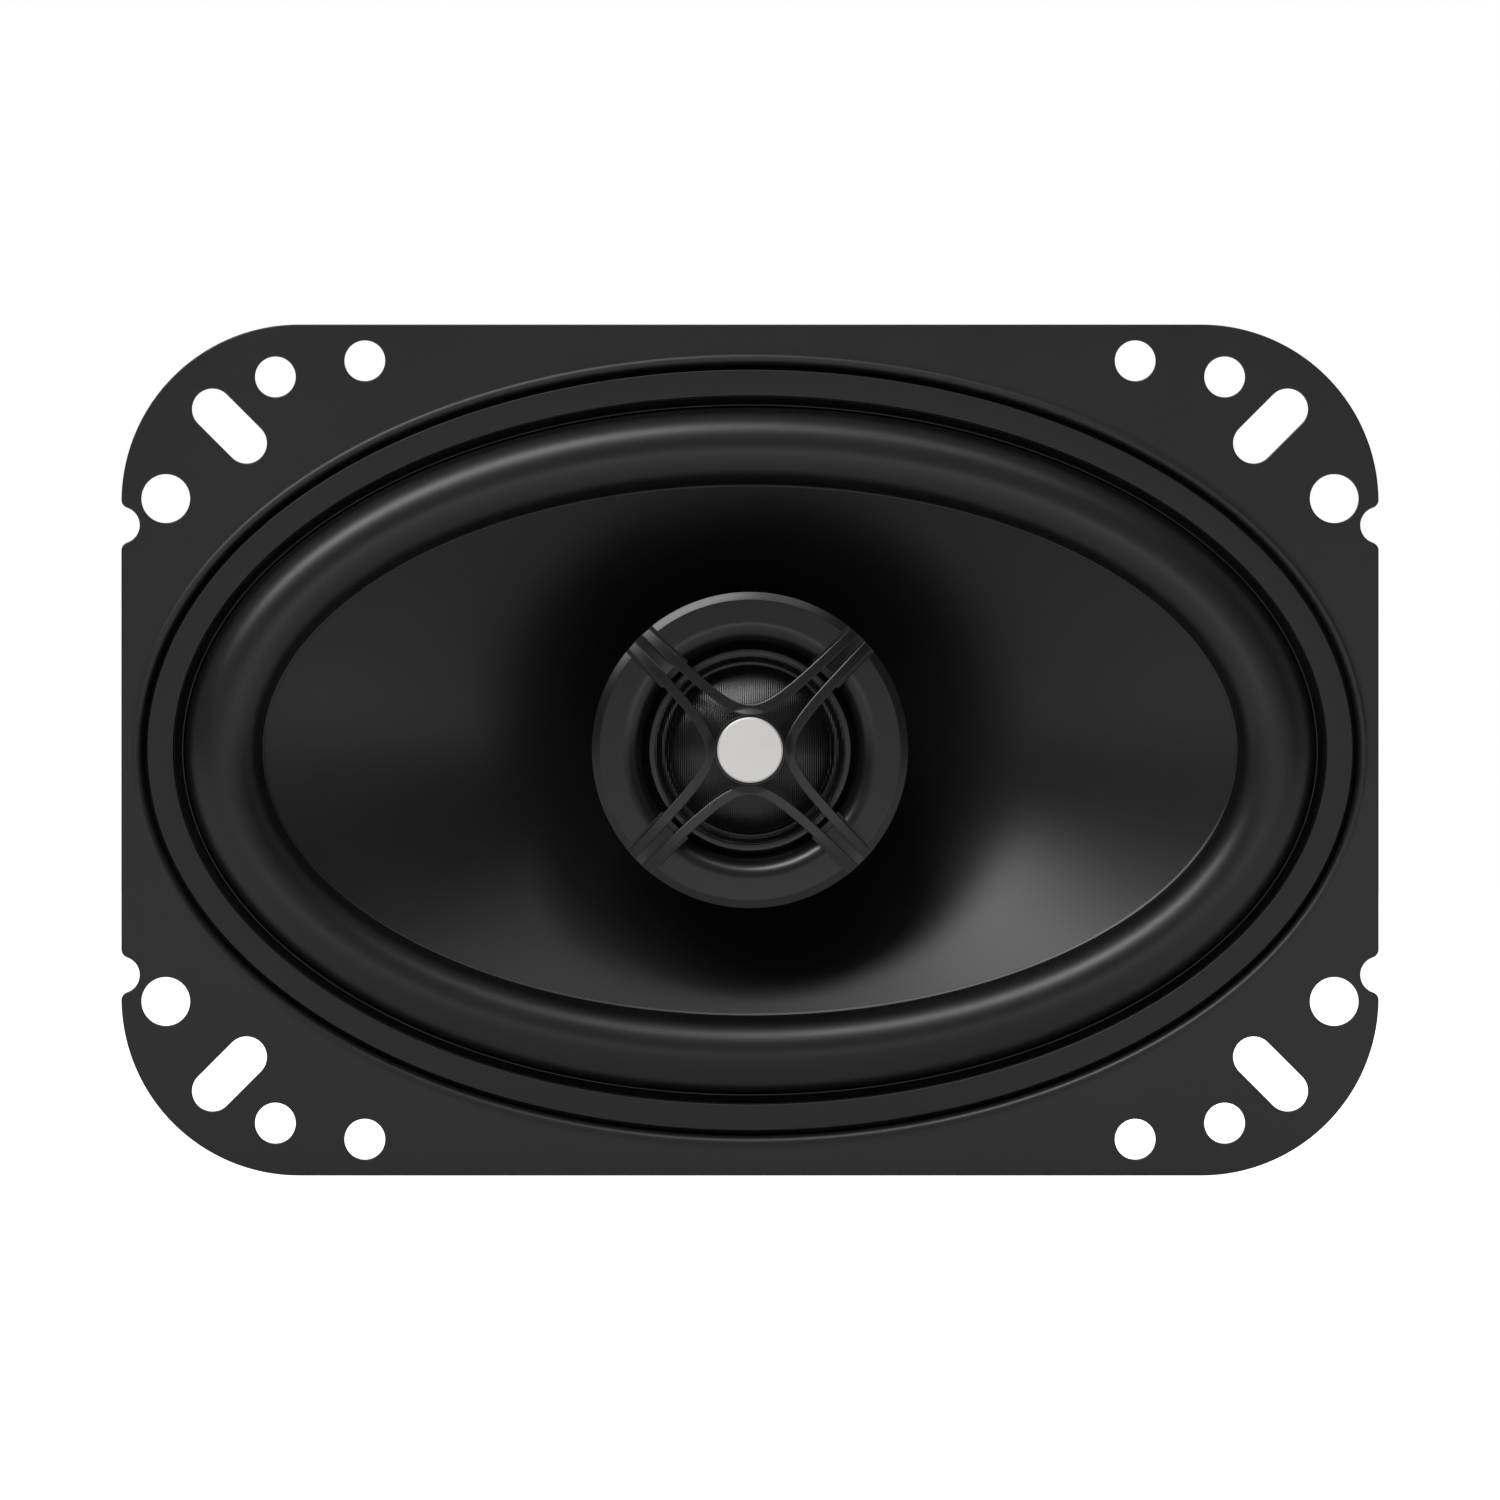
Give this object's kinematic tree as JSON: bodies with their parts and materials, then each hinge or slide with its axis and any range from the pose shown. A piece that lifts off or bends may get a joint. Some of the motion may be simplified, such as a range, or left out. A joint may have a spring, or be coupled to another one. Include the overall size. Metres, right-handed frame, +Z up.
{
  "type": "coaxial car speaker",
  "caption": "Two-way coaxial car loudspeaker on an oval-recess steel plate: paper cone on a rubber roll, dome tweeter on a centre post behind an X guard, ferrite motor.",
  "frame": {"origin": "on the speaker's axis, in the plane of the flange's rear face, which seats on the panel", "axes": "+X along the plate's length, +Y rearward along the speaker's axis, away from the listener, +Z up"},
  "size_m": [0.156, 0.0625, 0.1056],
  "materials": {
    "basket_steel": "satin black powder coat",
    "gasket_fibre": "matt black fibre",
    "surround_rubber": "satin black rubber",
    "cone_pulp": "coated black pulp",
    "former_foil": "plain foil",
    "copper_wire": "enamelled copper",
    "spider_cloth": "resin-treated cotton",
    "plated_steel": "zinc plate",
    "ferrite": "matt sintered ferrite",
    "phenolic_board": "paper phenolic",
    "tinned_brass": "tin plate",
    "capacitor_sleeve": "shrink sleeve",
    "tinsel_braid": "braided tinsel",
    "red_insulation": "soft vinyl",
    "black_insulation": "soft vinyl",
    "moulded_plastic": "satin moulded plastic",
    "satin_aluminium": "satin, bright bevel",
    "coated_silk": "coated silk",
    "nickel_plate": "nickel plate"
  },
  "bodies": {
    "frame": {"basket": "basket_steel", "gasket_ring": "gasket_fibre", "top_plate": "plated_steel", "ferrite_magnet": "ferrite", "yoke_and_pole": "plated_steel", "basket_stake_1": "plated_steel", "basket_stake_2": "plated_steel", "basket_stake_3": "plated_steel", "basket_stake_4": "plated_steel", "terminal_board": "phenolic_board", "board_rivet_lower": "plated_steel", "board_rivet_upper": "plated_steel", "terminal_negative": "tinned_brass", "terminal_positive": "tinned_brass", "terminal_rivet_negative": "plated_steel", "terminal_rivet_positive": "plated_steel", "crossover_capacitor": "capacitor_sleeve", "capacitor_lead_negative": "tinned_brass", "capacitor_lead_positive": "tinned_brass", "tweeter_wire_negative": "black_insulation", "tweeter_wire_positive": "red_insulation", "tweeter_post": "moulded_plastic", "post_washer": "plated_steel", "post_nut": "plated_steel", "tweeter_housing": "moulded_plastic", "tweeter_guard": "moulded_plastic", "hub_badge": "satin_aluminium", "tweeter_clamp_ring": "moulded_plastic", "tweeter_surround": "coated_silk", "tweeter_pole_cap": "plated_steel", "tweeter_magnet": "nickel_plate", "tweeter_yoke": "plated_steel", "surround": "surround_rubber", "spider": "spider_cloth", "tinsel_lead_negative": "tinsel_braid", "tinsel_lead_positive": "tinsel_braid"},
    "woofer_cone": {"cone": "cone_pulp", "voice_coil_former": "former_foil", "voice_coil_winding": "copper_wire"},
    "tweeter_diaphragm": {"tweeter_dome": "coated_silk", "tweeter_coil": "copper_wire"}
  },
  "joints": [
    {"name": "woofer_travel", "type": "slide", "parent": "frame", "child": "woofer_cone", "axis": [0, -1, 0], "range_m": [-0.0035, 0.0035], "stiffness_N_per_m": 1600, "deforming": ["surround", "spider", "tinsel_lead_negative", "tinsel_lead_positive"]},
    {"name": "tweeter_travel", "type": "slide", "parent": "frame", "child": "tweeter_diaphragm", "axis": [0, -1, 0], "range_m": [-0.00025, 0.00025], "stiffness_N_per_m": 60, "deforming": ["tweeter_surround"]}
  ]
}
